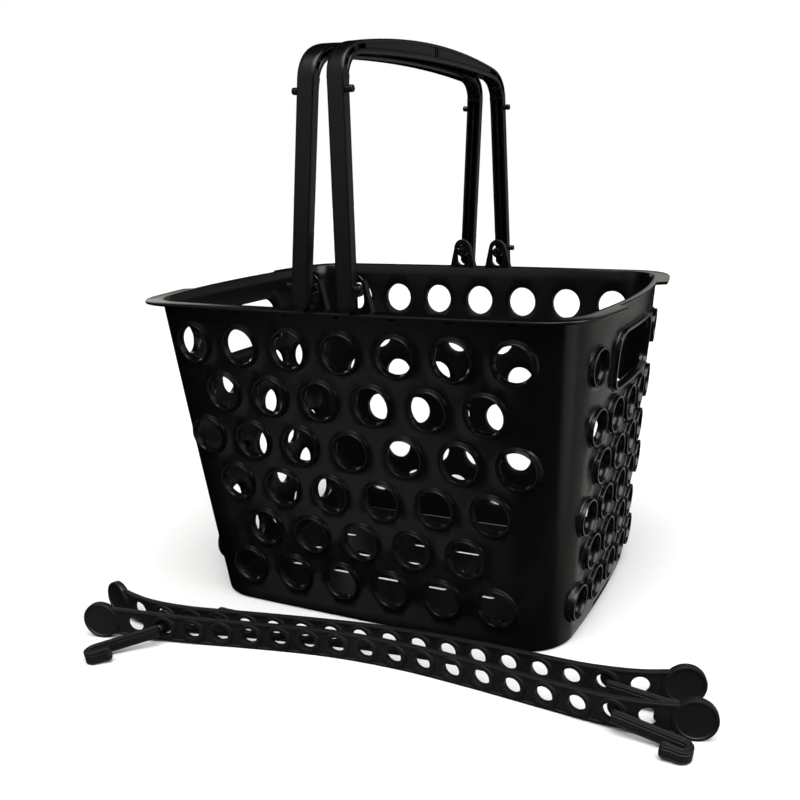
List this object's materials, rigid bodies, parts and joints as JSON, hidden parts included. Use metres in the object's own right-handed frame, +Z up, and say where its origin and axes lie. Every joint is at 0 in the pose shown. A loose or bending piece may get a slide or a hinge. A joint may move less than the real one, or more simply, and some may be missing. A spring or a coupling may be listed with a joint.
{
  "type": "handlebar basket",
  "caption": "Tapered plastic bicycle basket with collared round holes, two folding bail handles, and loose rubber fixing straps with hooks.",
  "frame": {"origin": "centre of the basket's underside, on the surface everything stands on", "axes": "+Z up, +X along the basket's long side to its right end, +Y from the straps' side to the far side"},
  "size_m": [0.4511, 0.3588, 0.4039],
  "materials": {
    "basket_plastic": "black moulded polypropylene, satin to gloss",
    "strap_rubber": "black moulded rubber, smooth with raised borders",
    "hook_plastic": "black moulded nylon, semi-matt"
  },
  "bodies": {
    "basket": {"basket_body": "basket_plastic"},
    "left_handle": {"handle_left": "basket_plastic"},
    "right_handle": {"handle_right": "basket_plastic"},
    "front_strap": {"strap_front": "strap_rubber"},
    "rear_strap": {"strap_rear": "strap_rubber"},
    "front_left_hook": {"hook_front_left": "hook_plastic"},
    "front_right_hook": {"hook_front_right": "hook_plastic"},
    "rear_left_hook": {"hook_rear_left": "hook_plastic"},
    "rear_right_hook": {"hook_rear_right": "hook_plastic"}
  },
  "joints": [
    {"name": "handle_left_fold", "type": "hinge", "parent": "basket", "child": "left_handle", "pos_m": [-0.0165, 0, 0.2471], "axis": [0, -1, 0], "range_deg": [0, 95.9]},
    {"name": "handle_right_fold", "type": "hinge", "parent": "basket", "child": "right_handle", "pos_m": [0.0165, 0, 0.2471], "axis": [0, 1, 0], "range_deg": [0, 91.1]},
    {"name": "strap_front_lift", "type": "slide", "parent": "basket", "child": "front_strap", "axis": [0, 0, 1], "range_m": [0, 0.12]},
    {"name": "strap_rear_lift", "type": "slide", "parent": "basket", "child": "rear_strap", "axis": [0, 0, 1], "range_m": [0, 0.12]},
    {"name": "hook_front_left_swing", "type": "hinge", "parent": "front_strap", "child": "front_left_hook", "pos_m": [-0.12382, -0.17521, 0.01136], "axis": [-0.2248, 0.9744, 0], "range_deg": [0, 140]},
    {"name": "hook_front_right_swing", "type": "hinge", "parent": "front_strap", "child": "front_right_hook", "pos_m": [0.19384, -0.15691, 0.01136], "axis": [-0.0389, -0.9992, 0], "range_deg": [0, 140]},
    {"name": "hook_rear_left_swing", "type": "hinge", "parent": "rear_strap", "child": "rear_left_hook", "pos_m": [-0.13557, -0.16163, 0.01136], "axis": [0.1178, -0.993, 0], "range_deg": [0, 140]},
    {"name": "hook_rear_right_swing", "type": "hinge", "parent": "rear_strap", "child": "rear_right_hook", "pos_m": [0.18237, -0.12822, 0.01136], "axis": [0.0451, -0.999, 0], "range_deg": [0, 140]}
  ]
}
